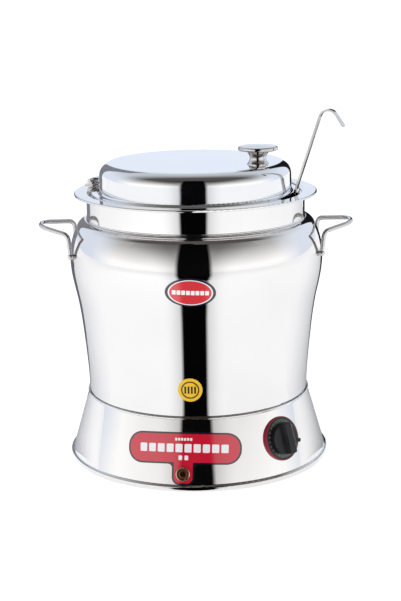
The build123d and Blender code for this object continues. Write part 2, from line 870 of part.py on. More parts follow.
with BuildPart() as pilot_lamp_body:
    with BuildSketch(lamp_plane.offset(lamp_foot)):
        Circle(lamp_radius)
    extrude(amount=-lamp_depth)
    with BuildSketch(lamp_plane.offset(lamp_foot - lamp_depth)):
        with Locations((-3, 0), (3, 0)):
            Rectangle(0.8, 4)
    extrude(amount=-8)
save(pilot_lamp_body, "pilot_lamp_body")

with BuildPart() as pilot_lamp_lens:
    with BuildSketch(lamp_plane.offset(lamp_foot)):
        Circle(lamp_lens_radius)
    extrude(amount=lamp_bezel_height - 0.4)
    fillet(pilot_lamp_lens.faces().sort_by(outward(lamp_plane))[-1].edges(), 2.0)
save(pilot_lamp_lens, "pilot_lamp_lens")

with BuildPart() as lamp_nut:
    with BuildSketch(lamp_plane.offset(-sheet - 0.4)):
        RegularPolygon(8.0, 6, major_radius=False)
        Circle(lamp_radius + running_clearance, mode=Mode.SUBTRACT)
    extrude(amount=-3.0)
save(lamp_nut, "lamp_nut")

badge_height_place = shoulder_top - badge_drop
badge_plane = Plane(
    radial(badge_azimuth) * (belly_radius - 20) + UP * badge_height_place,
    x_dir=UP.cross(radial(badge_azimuth)),
    z_dir=radial(badge_azimuth),
)
with BuildPart() as oval_badge:
    with BuildSketch(turned(badge_plane, badge_tilt)):
        Ellipse(badge_width / 2, badge_height / 2)
    extrude(amount=40)
    add(urn_solid(-badge_thickness), mode=Mode.INTERSECT)
    add(urn_face, mode=Mode.SUBTRACT)
save(oval_badge, "oval_badge")

sticker_plane = Plane(
    radial(sticker_azimuth) * (foot_radius - 20) + UP * (housing_floor + sticker_rise),
    x_dir=UP.cross(radial(sticker_azimuth)),
    z_dir=radial(sticker_azimuth),
)
with BuildPart() as round_sticker:
    with BuildSketch(sticker_plane):
        Circle(sticker_radius)
    extrude(amount=40)
    add(urn_solid(-sticker_thickness), mode=Mode.INTERSECT)
    add(urn_face, mode=Mode.SUBTRACT)
save(round_sticker, "round_sticker")

# ---- mains entry and wiring points ----
with BuildPart() as cord_gland:
    with BuildSketch(gland_plane.offset(-1)):
        Circle(gland_flange)
    extrude(amount=1 + gland_flange_thickness)
    fillet(cord_gland.faces().sort_by(outward(gland_plane))[-1].edges(), 1.2)
    add(cone_face, mode=Mode.SUBTRACT)
    with BuildSketch(gland_plane.offset(gland_flange_thickness - 1)):
        Circle(gland_radius)
    extrude(amount=-gland_depth)
    with BuildSketch(gland_plane.offset(gland_flange_thickness)):
        Circle(gland_bore)
    extrude(amount=-gland_depth - 2, mode=Mode.SUBTRACT)
save(cord_gland, "cord_gland")

with BuildPart() as gland_nut:
    with BuildSketch(gland_plane.offset(-sheet - 0.7)):
        RegularPolygon(10.5, 6, major_radius=False)
        Circle(gland_radius + running_clearance, mode=Mode.SUBTRACT)
    extrude(amount=-4)
save(gland_nut, "gland_nut")

electrics_inset = 75.0  # terminal block and earth stud, in from the base's rim
block_length = 42.0
block_width = 20.0
block_height = 16.0
block_floor = 9.0  # screw wells' floor above the plate
block_pitch = 13.0
block_well_radius = 2.6
terminal_screw_radius = 2.4
terminal_screw_height = 4.0
slot_depth = 1.0
slot_width = 0.7
earth_offset = 45.0
block_place = (0, base_radius - electrics_inset)
with BuildPart() as terminal_block:
    with BuildSketch(Plane.XY.offset(plate_top)):
        with Locations(block_place):
            Rectangle(block_length, block_width)
    extrude(amount=block_height)
    with BuildSketch(Plane.XY.offset(plate_top + block_floor)):
        with Locations(block_place):
            with GridLocations(block_pitch, 1, 3, 1):
                Circle(block_well_radius)
    extrude(amount=block_height - block_floor, mode=Mode.SUBTRACT)
save(terminal_block, "terminal_block")

with BuildPart() as terminal_screws:
    with BuildSketch(Plane.XY.offset(plate_top + block_floor)):
        with Locations(block_place):
            with GridLocations(block_pitch, 1, 3, 1):
                Circle(terminal_screw_radius)
    extrude(amount=terminal_screw_height)
    with BuildSketch(Plane.XY.offset(plate_top + block_floor + terminal_screw_height)):
        with Locations(block_place):
            with GridLocations(block_pitch, 1, 3, 1):
                Rectangle(terminal_screw_height, slot_width)
    extrude(amount=-slot_depth, mode=Mode.SUBTRACT)
save(terminal_screws, "terminal_screws")

earth_place = (earth_offset, base_radius - electrics_inset)
with BuildPart() as earth_stud:
    with BuildSketch(Plane.XY.offset(plate_top)):
        with Locations(earth_place):
            Circle(bolt_radius)
    extrude(amount=block_height)
    with BuildSketch(Plane.XY.offset(plate_top)):
        with Locations(earth_place):
            RegularPolygon(bolt_nut_width / 2, 6, major_radius=False)
    extrude(amount=bolt_nut_height)
save(earth_stud, "earth_stud")

# ---- wire handles ----
leg_out = sqrt((belly_radius + handle_rod) ** 2 - handle_half_width**2)
loop_height = belly_height + handle_height
loop_out = belly_radius + handle_reach - handle_rod


def wire_handle(side):
    """Bent rod handle welded to the belly; side is 1 on +X and -1 on -X."""
    leg_foot = belly_height + handle_leg_foot
    front = [
        (side * leg_out, -handle_half_width, leg_foot),
        (side * (leg_out + 3), -handle_half_width, loop_height),
        (side * loop_out, -handle_nose_half_width, loop_height + handle_rise),
    ]
    back = [(x, -y, z) for x, y, z in reversed(front)]
    with BuildPart() as handle:
        with BuildLine():
            FilletPolyline(
                *front,
                *back,
                radius=[handle_bend, handle_nose_bend, handle_nose_bend, handle_bend],
            )
        with BuildSketch(Plane(front[0], z_dir=Vector(*front[1]) - Vector(*front[0]))):
            Circle(handle_rod)
        sweep()
        with Locations(*[(side * leg_out, y, leg_foot) for y in (-handle_half_width, handle_half_width)]):
            Sphere(handle_weld_radius)
        add(urn_face, mode=Mode.SUBTRACT)
    return handle


save(wire_handle(-1), "left_handle")
save(wire_handle(1), "right_handle")

# ---- soup pot ----
hinge_azimuth = lid_azimuth + 180
hinge_foot = radial(hinge_azimuth) * (pot_radius + hinge_reach)
hinge_plan = Plane(hinge_foot, x_dir=radial(hinge_azimuth), z_dir=UP)
rim_rivet_points = [(rim_rivets_out, y) for y in (-hinge_rivet_half_pitch, hinge_rivet_half_pitch)]
lid_rivet_points = [(-lid_rivets_in, y) for y in (-hinge_rivet_half_pitch, hinge_rivet_half_pitch)]
with BuildPart() as soup_pot:
    with BuildSketch(Plane.XZ):
        with BuildLine():
            FilletPolyline(
                (0, pot_floor),
                (pot_radius + sheet, pot_floor),
                (pot_radius + sheet, rim_top - sheet),
                (rim_radius - rim_bead, rim_top - sheet),
                radius=[pot_corner + sheet, rim_bend - sheet],
            )
            offset(amount=sheet, side=Side.LEFT)
        make_face()
        with Locations((rim_radius - rim_bead, rim_top - rim_bead)):
            Circle(rim_bead)
    revolve(axis=Axis.Z)
    with BuildSketch(hinge_plan.offset(rim_top - 3)):
        with Locations(*rim_rivet_points):
            Circle(hinge_rivet_radius + running_clearance)
    extrude(amount=4, mode=Mode.SUBTRACT)
save(soup_pot, "soup_pot")

brim_top = rim_top - lid_brim_drop
hem_foot = brim_top - lid_hem
seat_top = hem_foot - lid_seat_gap
brim_radius = pot_radius - lid_gap
lid_wall = brim_radius - lid_brim_width
lid_top = brim_top + lid_height


def notch(low, high):
    """Ladle notch: the sector cut out of the brim between two heights."""
    with BuildPart() as sector:
        with BuildSketch(upright_plane(lid_azimuth - notch_half_angle)):
            with Locations((lid_wall + notch_inset, low)):
                Rectangle(20, high - low, align=(Align.MIN, Align.MIN))
        revolve(axis=Axis.Z, revolution_arc=2 * notch_half_angle)
    return sector.part


with BuildPart() as lid_seat_ring:
    with BuildSketch(Plane.XY.offset(seat_top - seat_ring_thickness)):
        Circle(pot_radius)
        Circle(pot_radius - seat_ring_width, mode=Mode.SUBTRACT)
    extrude(amount=seat_ring_thickness)
    add(notch(seat_top - seat_ring_thickness - 1, seat_top + 1), mode=Mode.SUBTRACT)
save(lid_seat_ring, "lid_seat_ring")

# ---- lid ----
knob_axis = radial(lid_azimuth) * (lid_wall - knob_inset)
with BuildPart() as lid:
    with BuildSketch(Plane.XZ):
        with BuildLine():
            FilletPolyline(
                (brim_radius, hem_foot),
                (brim_radius, brim_top),
                (lid_wall, brim_top),
                (lid_wall - lid_taper, lid_top),
                (0, lid_top),
                radius=[1.5, 2.5, lid_shoulder],
            )
            offset(amount=sheet, side=Side.LEFT)
        make_face()
    revolve(axis=Axis.Z)
    add(notch(hem_foot - 1, brim_top + 1), mode=Mode.SUBTRACT)
    with BuildSketch(Plane.XY.offset(lid_top - 2 * sheet)):
        with Locations((knob_axis.X, knob_axis.Y)):
            Circle(knob_screw_radius + hole_clearance)
    extrude(amount=3 * sheet, mode=Mode.SUBTRACT)
    with BuildSketch(hinge_plan.offset(brim_top - 2 * sheet)):
        with Locations(*lid_rivet_points):
            Circle(hinge_rivet_radius + running_clearance)
    extrude(amount=3 * sheet, mode=Mode.SUBTRACT)
save(lid, "lid")

disc_under = knob_height - knob_disc_thickness
with BuildPart() as lid_knob:
    with BuildSketch(Plane((knob_axis.X, knob_axis.Y, lid_top), x_dir=(1, 0, 0), z_dir=(0, -1, 0))):
        with BuildLine():
            Polyline((0, knob_height), (0, 0), (knob_foot_radius, 0), (knob_foot_radius, knob_foot_edge))
            Spline(
                (knob_foot_radius, knob_foot_edge),
                (knob_waist_radius, knob_waist_height),
                (knob_flare_radius, disc_under),
            )
            FilletPolyline(
                (knob_flare_radius, disc_under),
                (knob_disc_radius, disc_under),
                (knob_disc_radius, knob_height - knob_dome),
                (0, knob_height),
                radius=[2.0, 1.8],
            )
        make_face()
    revolve(axis=Axis((knob_axis.X, knob_axis.Y, 0), (0, 0, 1)))
    with BuildSketch(Plane.XY.offset(lid_top)):
        with Locations((knob_axis.X, knob_axis.Y)):
            Circle(knob_screw_radius + running_clearance)
    extrude(amount=knob_screw_reach, mode=Mode.SUBTRACT)
save(lid_knob, "lid_knob")

washer_thickness = 1.0
under_lid = lid_top - sheet
with BuildPart() as knob_washer:
    with BuildSketch(Plane.XY.offset(under_lid - washer_thickness)):
        with Locations((knob_axis.X, knob_axis.Y)):
            Circle(knob_washer_radius)
            Circle(knob_screw_radius + running_clearance, mode=Mode.SUBTRACT)
    extrude(amount=washer_thickness)
save(knob_washer, "knob_washer")

with BuildPart() as knob_screw:
    with BuildSketch(Plane.XY.offset(under_lid - washer_thickness - knob_screw_head_height)):
        with Locations((knob_axis.X, knob_axis.Y)):
            Circle(knob_screw_head_radius)
    extrude(amount=knob_screw_head_height)
    with BuildSketch(Plane.XY.offset(under_lid - washer_thickness)):
        with Locations((knob_axis.X, knob_axis.Y)):
            Circle(knob_screw_radius)
    extrude(amount=knob_screw_reach)
save(knob_screw, "knob_screw")

# ---- lid hinge, on the rim opposite the knob ----
hinge_height = rim_top + hinge_leaf_thickness + hinge_gap + hinge_barrel
hinge_side = upright_plane(hinge_azimuth, hinge_foot + UP * hinge_height)
knuckle_start = hinge_centre_width / 2 + hinge_gap
rim_level = -(hinge_barrel + hinge_gap + hinge_leaf_thickness)

rim_leaf_back = 4.5  # rim leaf's inner edge inside the hinge axis
rim_leaf_length = 12.0
web_back = 3.2
web_width = 4.7
with BuildPart() as hinge_rim_leaf:
    with BuildSketch(hinge_side):
        with Locations((-rim_leaf_back, rim_level)):
            Rectangle(rim_leaf_length, hinge_leaf_thickness, align=(Align.MIN, Align.MIN))
    extrude(amount=hinge_width / 2, both=True)
    for start in (-hinge_width / 2, knuckle_start):
        with BuildSketch(hinge_side.offset(start)):
            Circle(hinge_barrel)
            with Locations((-web_back, rim_level)):
                Rectangle(web_width, -rim_level, align=(Align.MIN, Align.MIN))
        extrude(amount=hinge_width / 2 - knuckle_start)
    with BuildSketch(hinge_side):
        Circle(hinge_pin_radius + running_clearance)
    extrude(amount=hinge_width, both=True, mode=Mode.SUBTRACT)
    with BuildSketch(hinge_plan.offset(rim_top - 1)):
        with Locations(*rim_rivet_points):
            Circle(hinge_rivet_radius + running_clearance)
    extrude(amount=5, mode=Mode.SUBTRACT)
save(hinge_rim_leaf, "hinge_rim_leaf")

brim_level = brim_top - hinge_height
lid_leaf_bend = 7.5  # distances inside the hinge axis
lid_leaf_landing = 12.8
lid_leaf_end = 19.3
with BuildPart() as hinge_lid_leaf:
    with BuildSketch(hinge_side):
        with BuildLine():
            FilletPolyline(
                (0, hinge_barrel),
                (-lid_leaf_bend, hinge_barrel),
                (-lid_leaf_landing, brim_level + hinge_leaf_thickness),
                (-lid_leaf_end, brim_level + hinge_leaf_thickness),
                radius=[3.0, 2.0],
            )
            offset(amount=hinge_leaf_thickness, side=Side.LEFT)
        make_face()
        Circle(hinge_barrel)
    extrude(amount=hinge_centre_width / 2, both=True)
    with BuildSketch(hinge_side):
        Circle(hinge_pin_radius + running_clearance)
    extrude(amount=hinge_width, both=True, mode=Mode.SUBTRACT)
    with BuildSketch(hinge_plan.offset(brim_top - 1)):
        with Locations(*lid_rivet_points):
            Circle(hinge_rivet_radius + running_clearance)
    extrude(amount=5, mode=Mode.SUBTRACT)
save(hinge_lid_leaf, "hinge_lid_leaf")

pin_head_height = 1.2
pin_head_lap = 0.8
with BuildPart() as hinge_pin:
    with BuildSketch(hinge_side):
        Circle(hinge_pin_radius)
    extrude(amount=hinge_width / 2 + pin_head_height, both=True)
    for start in (hinge_width / 2 + fit_gap, -hinge_width / 2 - fit_gap - pin_head_height):
        with BuildSketch(hinge_side.offset(start)):
            Circle(hinge_pin_radius + pin_head_lap)
        extrude(amount=pin_head_height)
save(hinge_pin, "hinge_pin")


rivet_head_radius = 1.9
rivet_head_height = 0.7


def rivets(points, low, high):
    """Flat-headed rivets through a stack of sheets between two heights."""
    with BuildPart() as group:
        for start, height, radius in (
            (low - rivet_head_height, rivet_head_height, rivet_head_radius),
            (low, high - low, hinge_rivet_radius),
            (high, rivet_head_height, rivet_head_radius),
        ):
            with BuildSketch(hinge_plan.offset(start)):
                with Locations(*points):
                    Circle(radius)
            extrude(amount=height)
    return group


rim_rivets = rivets(rim_rivet_points, rim_top - sheet, rim_top + hinge_leaf_thickness)
save(rim_rivets, "rim_leaf_rivets")
lid_rivets = rivets(lid_rivet_points, brim_top - sheet, brim_top + hinge_leaf_thickness)
save(lid_rivets, "lid_leaf_rivets")

# ---- ladle ----
lean = radians(ladle_lean)
ladle_plane = upright_plane(ladle_azimuth)
shaft_way = Vector(sin(lean), cos(lean))
shaft_side = Vector(cos(lean), -sin(lean))
strip_ring = ladle_bowl_radius + ladle_strip_thickness / 2
rim_cross = Vector(pot_radius - ladle_wall_gap, rim_top)
bowl_height = pot_floor + sheet + ladle_floor_gap + ladle_bowl_radius
shaft_foot_height = bowl_height - strip_ring * sin(lean)
shaft_foot = rim_cross - shaft_way * ((rim_top - shaft_foot_height) / cos(lean))
bowl_centre = shaft_foot - shaft_side * strip_ring
hook_start_height = rim_top + hook_rise - hook_radius + hook_radius * sin(lean)
shaft_head = rim_cross + shaft_way * ((hook_start_height - rim_top) / cos(lean))
hook_centre = shaft_head + shaft_side * hook_radius
bowl_centre_place = ladle_plane.from_local_coords(bowl_centre)
bowl_top_place = ladle_plane.from_local_coords(bowl_centre + shaft_way)
bowl_axis = Axis(bowl_centre_place, bowl_top_place - bowl_centre_place)

with BuildPart() as ladle_bowl:
    with BuildSketch(ladle_plane):
        with BuildLine():
            outer = CenterArc(bowl_centre, ladle_bowl_radius, -90 - ladle_lean, 90)
            inner = CenterArc(bowl_centre, ladle_bowl_radius - ladle_sheet, -90 - ladle_lean, 90)
            Line(outer @ 0, inner @ 0)
            Line(outer @ 1, inner @ 1)
        make_face()
    revolve(axis=bowl_axis)
    rivet_ways = [
        shaft_side.rotate(Axis.Z, -ladle_foot_angle * share) for share in ladle_rivet_shares
    ]
    rivet_planes = [
        Plane(
            ladle_plane.from_local_coords(bowl_centre),
            z_dir=ladle_plane.from_local_coords(bowl_centre + way) - bowl_centre_place,
        )
        for way in rivet_ways
    ]
    for plane in rivet_planes:
        with BuildSketch(plane.offset(ladle_bowl_radius - 5)):
            Circle(ladle_rivet_radius + running_clearance)
        extrude(amount=10, mode=Mode.SUBTRACT)
save(ladle_bowl, "ladle_bowl")

with BuildPart() as ladle_handle:
    with BuildSketch(ladle_plane):
        with BuildLine():
            foot = CenterArc(
                bowl_centre, strip_ring, -ladle_lean - ladle_foot_angle, ladle_foot_angle
            )
            Line(foot @ 1, shaft_head)
            hook = CenterArc(hook_centre, hook_radius, 180 - ladle_lean, -hook_turn)
            Line(hook @ 1, hook @ 1 + (hook % 1) * hook_tail)
            offset(amount=ladle_strip_thickness / 2, side=Side.BOTH)
        make_face()
    extrude(amount=ladle_strip_width / 2, both=True)
    for plane in rivet_planes:
        with BuildSketch(plane.offset(ladle_bowl_radius - 5)):
            Circle(ladle_rivet_radius + running_clearance)
        extrude(amount=15, mode=Mode.SUBTRACT)
save(ladle_handle, "ladle_handle")

with BuildPart() as ladle_rivets:
    inner_radius = ladle_bowl_radius - ladle_sheet
    inner_face = sqrt(inner_radius**2 - ladle_rivet_head_radius**2) - running_clearance
    outer_face = ladle_bowl_radius + ladle_strip_thickness + running_clearance
    inner_head = inner_face - ladle_rivet_head_height
    outer_head = outer_face + ladle_rivet_head_height
    for plane in rivet_planes:
        with BuildSketch(plane.offset(inner_head)):
            Circle(ladle_rivet_head_radius)
        extrude(amount=ladle_rivet_head_height)
        with BuildSketch(plane.offset(inner_head)):
            Circle(ladle_rivet_radius)
        extrude(amount=outer_head - inner_head)
        with BuildSketch(plane.offset(outer_face)):
            Circle(ladle_rivet_head_radius)
        extrude(amount=ladle_rivet_head_height)
save(ladle_rivets, "ladle_rivets")
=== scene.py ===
import math

import bpy
from mathutils import Matrix, Vector


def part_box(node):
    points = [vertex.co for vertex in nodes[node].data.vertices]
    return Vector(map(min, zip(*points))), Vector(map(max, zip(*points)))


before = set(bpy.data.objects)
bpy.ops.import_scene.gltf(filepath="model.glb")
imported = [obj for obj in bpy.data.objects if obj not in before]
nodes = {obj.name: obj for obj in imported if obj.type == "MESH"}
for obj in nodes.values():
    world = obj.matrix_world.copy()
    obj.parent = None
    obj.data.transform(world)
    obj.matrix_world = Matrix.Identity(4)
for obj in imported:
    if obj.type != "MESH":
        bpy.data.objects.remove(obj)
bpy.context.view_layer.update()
bpy.ops.object.select_all(action="DESELECT")
print("frame loaded:", len(nodes), "nodes")


def feed(tree, socket, item):  # links another socket to this one, or sets a plain value on it
    if isinstance(item, bpy.types.NodeSocket):
        tree.links.new(item, socket)
    else:
        socket.default_value = item


def calc(tree, operation, *values):
    node = tree.nodes.new("ShaderNodeMath")
    node.operation = operation
    for socket, value in zip(node.inputs, values):
        feed(tree, socket, value)
    return node.outputs[0]


def square(tree, value):
    return calc(tree, "MULTIPLY", value, value)


def vectorCalc(tree, operation, *values):
    node = tree.nodes.new("ShaderNodeVectorMath")
    node.operation = operation
    for socket, value in zip(node.inputs, values):
        feed(tree, socket, value)
    return node.outputs["Value"] if operation == "DOT_PRODUCT" else node.outputs["Vector"]


def noise(tree, vector, scale, detail=2.0, roughness=0.5):
    node = tree.nodes.new("ShaderNodeTexNoise")
    node.inputs["Detail"].default_value = detail
    node.inputs["Roughness"].default_value = roughness
    feed(tree, node.inputs["Scale"], scale)
    tree.links.new(vector, node.inputs["Vector"])
    return node.outputs["Fac"]


def spread(tree, value, fromLow, fromHigh, toLow, toHigh):
    node = tree.nodes.new("ShaderNodeMapRange")
    labels = ("Value", "From Min", "From Max", "To Min", "To Max")
    for label, item in zip(labels, (value, fromLow, fromHigh, toLow, toHigh)):
        feed(tree, node.inputs[label], item)
    return node.outputs["Result"]


def below(tree, value, limit, softness=0.00012):  # 1 where value is under limit, with a thin soft edge
    return spread(tree, value, limit - softness, limit + softness, 1.0, 0.0)


def tint(tree, mask, under, over):  # over where mask is 1
    node = tree.nodes.new("ShaderNodeMix")
    node.data_type = "RGBA"
    tree.links.new(mask, node.inputs["Factor"])
    for label, item in (("A", under), ("B", over)):
        socket = [s for s in node.inputs if s.name == label and s.type == "RGBA"][0]
        if isinstance(item, bpy.types.NodeSocket):
            tree.links.new(item, socket)
        else:
            socket.default_value = (*item, 1.0)
    return [s for s in node.outputs if s.type == "RGBA"][0]


def groupShell(name, inputs, outputs):
    tree = bpy.data.node_groups.new(name, "ShaderNodeTree")
    for label, kind, value in inputs:
        socket = tree.interface.new_socket(name=label, in_out="INPUT", socket_type=kind)
        socket.default_value = value
    for label, kind in outputs:
        tree.interface.new_socket(name=label, in_out="OUTPUT", socket_type=kind)
    return tree, tree.nodes.new("NodeGroupInput").outputs, tree.nodes.new("NodeGroupOutput").inputs


def useGroup(tree, group, values):
    node = tree.nodes.new("ShaderNodeGroup")
    node.node_tree = group
    for label, item in values.items():
        feed(tree, node.inputs[label], item)
    return node.outputs


polishLook = {
    "stretch": 12.0, "grit": 0.6, "smudgeScale": 16.0, "lineShare": 0.4, "smudgeShare": 0.6,
    "smoothest": 0.38, "roughest": 0.66, "lineHeight": 0.012,
}


def makePolishMarks(look):  # broad waves of spun sheet, fine polishing lines round the axis and faint smudges
    tree, given, made = groupShell(
        "polishMarks",
        [("Vector", "NodeSocketVector", (0, 0, 0)), ("Wave Scale", "NodeSocketFloat", 9.0),
         ("Line Scale", "NodeSocketFloat", 900.0), ("Low", "NodeSocketFloat", 0.03),
         ("High", "NodeSocketFloat", 0.08)],
        [("Roughness", "NodeSocketFloat"), ("Height", "NodeSocketFloat")],
    )
    waves = noise(tree, given["Vector"], given["Wave Scale"], detail=1.0)
    stretch = tree.nodes.new("ShaderNodeCombineXYZ")
    for socket, item in zip(stretch.inputs, (look["stretch"], look["stretch"], given["Line Scale"])):
        feed(tree, socket, item)
    stretched = vectorCalc(tree, "MULTIPLY", given["Vector"], stretch.outputs[0])
    lines = noise(tree, stretched, 1.0, detail=3.0, roughness=look["grit"])
    smudges = noise(tree, given["Vector"], look["smudgeScale"], detail=4.0, roughness=look["grit"])
    lined = calc(tree, "MULTIPLY", lines, look["lineShare"])
    mixed = calc(tree, "ADD", lined, calc(tree, "MULTIPLY", smudges, look["smudgeShare"]))
    roughness = spread(tree, mixed, look["smoothest"], look["roughest"], given["Low"], given["High"])
    tree.links.new(roughness, made["Roughness"])
    raised = calc(tree, "MULTIPLY", lines, look["lineHeight"])
    tree.links.new(calc(tree, "ADD", waves, raised), made["Height"])
    return tree


grainLook = {"patchScale": 45.0, "grit": 0.6, "smoothest": 0.35, "roughest": 0.65}


def makeMouldGrain(look):  # fine skin of moulded or cast pieces, with slight shade changes
    tree, given, made = groupShell(
        "mouldGrain",
        [("Vector", "NodeSocketVector", (0, 0, 0)), ("Grain Scale", "NodeSocketFloat", 1800.0),
         ("Low", "NodeSocketFloat", 0.4), ("High", "NodeSocketFloat", 0.6)],
        [("Roughness", "NodeSocketFloat"), ("Height", "NodeSocketFloat"), ("Shade", "NodeSocketFloat")],
    )
    grain = noise(tree, given["Vector"], given["Grain Scale"], detail=3.0, roughness=look["grit"])
    patches = noise(tree, given["Vector"], look["patchScale"], detail=3.0)
    roughness = spread(tree, patches, look["smoothest"], look["roughest"], given["Low"], given["High"])
    tree.links.new(roughness, made["Roughness"])
    tree.links.new(grain, made["Height"])
    tree.links.new(patches, made["Shade"])
    return tree


def makePatchPlace():  # a point's place on a flat print, across and up from its middle, in metres
    tree, given, made = groupShell(
        "patchPlace",
        [("Vector", "NodeSocketVector", (0, 0, 0)), ("Middle", "NodeSocketVector", (0, 0, 0)),
         ("Across", "NodeSocketVector", (1, 0, 0)), ("Up", "NodeSocketVector", (0, 0, 1))],
        [("U", "NodeSocketFloat"), ("V", "NodeSocketFloat"), ("Distance", "NodeSocketFloat")],
    )
    away = vectorCalc(tree, "SUBTRACT", given["Vector"], given["Middle"])
    u = vectorCalc(tree, "DOT_PRODUCT", away, given["Across"])
    v = vectorCalc(tree, "DOT_PRODUCT", away, given["Up"])
    tree.links.new(u, made["U"])
    tree.links.new(v, made["V"])
    squares = calc(tree, "ADD", square(tree, u), square(tree, v))
    tree.links.new(calc(tree, "SQRT", squares), made["Distance"])
    return tree


def makeRoundedBlock():  # distance from the edge of a block with round corners, below 0 inside
    tree, given, made = groupShell(
        "roundedBlock",
        [("U", "NodeSocketFloat", 0.0), ("V", "NodeSocketFloat", 0.0), ("Half U", "NodeSocketFloat", 0.01),
         ("Half V", "NodeSocketFloat", 0.01), ("Corner", "NodeSocketFloat", 0.001)],
        [("Edge", "NodeSocketFloat")],
    )
    overs = []
    for place, half in (("U", "Half U"), ("V", "Half V")):
        inner = calc(tree, "SUBTRACT", given[half], given["Corner"])
        overs.append(calc(tree, "SUBTRACT", calc(tree, "ABSOLUTE", given[place]), inner))
    outU, outV = [calc(tree, "MAXIMUM", over, 0.0) for over in overs]
    squares = calc(tree, "ADD", square(tree, outU), square(tree, outV))
    inside = calc(tree, "MINIMUM", calc(tree, "MAXIMUM", *overs), 0.0)
    total = calc(tree, "ADD", calc(tree, "SQRT", squares), inside)
    tree.links.new(calc(tree, "SUBTRACT", total, given["Corner"]), made["Edge"])
    return tree


polishMarks = makePolishMarks(polishLook)  # node groups that several finishes share
mouldGrain = makeMouldGrain(grainLook)
patchPlace = makePatchPlace()
roundedBlock = makeRoundedBlock()
print("shared effects made")

bumpDepth = {"metal": 0.002, "moulded": 0.0004, "print": 0.0003}
wearRange = {"metal": (0.4, 0.7), "moulded": (0.35, 0.7)}  # noise that takes the first colour to the second
wearGrit = 0.6
printSkin = {"grainScale": 1600.0, "bump": 0.05}
rowShift = 40  # whole pitches, which keep a row's values above 0


def startFinish(name):
    material = bpy.data.materials.new(name)
    material.use_nodes = True
    tree = material.node_tree
    place = tree.nodes.new("ShaderNodeTexCoord").outputs["Object"]
    return material, tree, tree.nodes["Principled BSDF"], place


def addBump(tree, shader, height, strength, distance):
    bump = tree.nodes.new("ShaderNodeBump")
    bump.inputs["Strength"].default_value = strength
    bump.inputs["Distance"].default_value = distance
    tree.links.new(height, bump.inputs["Height"])
    tree.links.new(bump.outputs["Normal"], shader.inputs["Normal"])


def metalFinish(name, look):
    material, tree, shader, place = startFinish(name)
    shader.inputs["Metallic"].default_value = 1.0
    marks = useGroup(tree, polishMarks, {
        "Vector": place, "Wave Scale": look["waveScale"], "Line Scale": look["lineScale"],
        "Low": look["smooth"], "High": look["rough"]})
    tree.links.new(marks["Roughness"], shader.inputs["Roughness"])
    patches = noise(tree, place, look["patchScale"], detail=4.0, roughness=wearGrit)
    wear = spread(tree, patches, *wearRange["metal"], 0.0, 1.0)
    colour = tint(tree, wear, look["colour"], look["worn"])
    tree.links.new(colour, shader.inputs["Base Color"])
    addBump(tree, shader, marks["Height"], look["bump"], bumpDepth["metal"])
    return material


def mouldedFinish(name, look):
    material, tree, shader, place = startFinish(name)
    shader.inputs["Metallic"].default_value = look.get("metallic", 0.0)
    shader.inputs["IOR"].default_value = look.get("ior", 1.5)
    skin = useGroup(tree, mouldGrain, {
        "Vector": place, "Grain Scale": look["grainScale"], "Low": look["smooth"], "High": look["rough"]})
    tree.links.new(skin["Roughness"], shader.inputs["Roughness"])
    wear = spread(tree, skin["Shade"], *wearRange["moulded"], 0.0, 1.0)
    colour = tint(tree, wear, look["colour"], look["second"])
    tree.links.new(colour, shader.inputs["Base Color"])
    addBump(tree, shader, skin["Height"], look["bump"], bumpDepth["moulded"])
    return material


steelLooks = {
    "bodySteel": {"colour": (0.8, 0.79, 0.78), "worn": (0.75, 0.74, 0.73), "smooth": 0.02, "rough": 0.05,
                  "waveScale": 7.0, "lineScale": 700.0, "patchScale": 5.0, "bump": 0.10},
    "lidSteel": {"colour": (0.82, 0.825, 0.83), "worn": (0.78, 0.785, 0.79), "smooth": 0.025, "rough": 0.06,
                 "waveScale": 8.0, "lineScale": 500.0, "patchScale": 6.0, "bump": 0.08},
    "wireSteel": {"colour": (0.6, 0.59, 0.58), "worn": (0.5, 0.48, 0.46), "smooth": 0.05, "rough": 0.12,
                  "waveScale": 40.0, "lineScale": 900.0, "patchScale": 25.0, "bump": 0.10},
    "knobSteel": {"colour": (0.62, 0.6, 0.59), "worn": (0.52, 0.5, 0.48), "smooth": 0.04, "rough": 0.09,
                  "waveScale": 30.0, "lineScale": 1500.0, "patchScale": 30.0, "bump": 0.08},
    "innerSteel": {"colour": (0.62, 0.62, 0.63), "worn": (0.52, 0.52, 0.52), "smooth": 0.18, "rough": 0.32,
                   "waveScale": 12.0, "lineScale": 1100.0, "patchScale": 9.0, "bump": 0.25},
    "zincPlate": {"colour": (0.66, 0.67, 0.69), "worn": (0.5, 0.52, 0.5), "smooth": 0.26, "rough": 0.42,
                  "waveScale": 60.0, "lineScale": 800.0, "patchScale": 60.0, "bump": 0.3},
    "heatedSheath": {"colour": (0.3, 0.28, 0.26), "worn": (0.2, 0.17, 0.19), "smooth": 0.35, "rough": 0.5,
                     "waveScale": 50.0, "lineScale": 600.0, "patchScale": 40.0, "bump": 0.4},
    "drawnCopper": {"colour": (0.72, 0.4, 0.24), "worn": (0.5, 0.27, 0.17), "smooth": 0.2, "rough": 0.36,
                    "waveScale": 60.0, "lineScale": 900.0, "patchScale": 60.0, "bump": 0.2},
    "lampRingMetal": {"colour": (0.83, 0.6, 0.42), "worn": (0.7, 0.45, 0.28), "smooth": 0.12, "rough": 0.24,
                      "waveScale": 90.0, "lineScale": 1200.0, "patchScale": 90.0, "bump": 0.1},
}
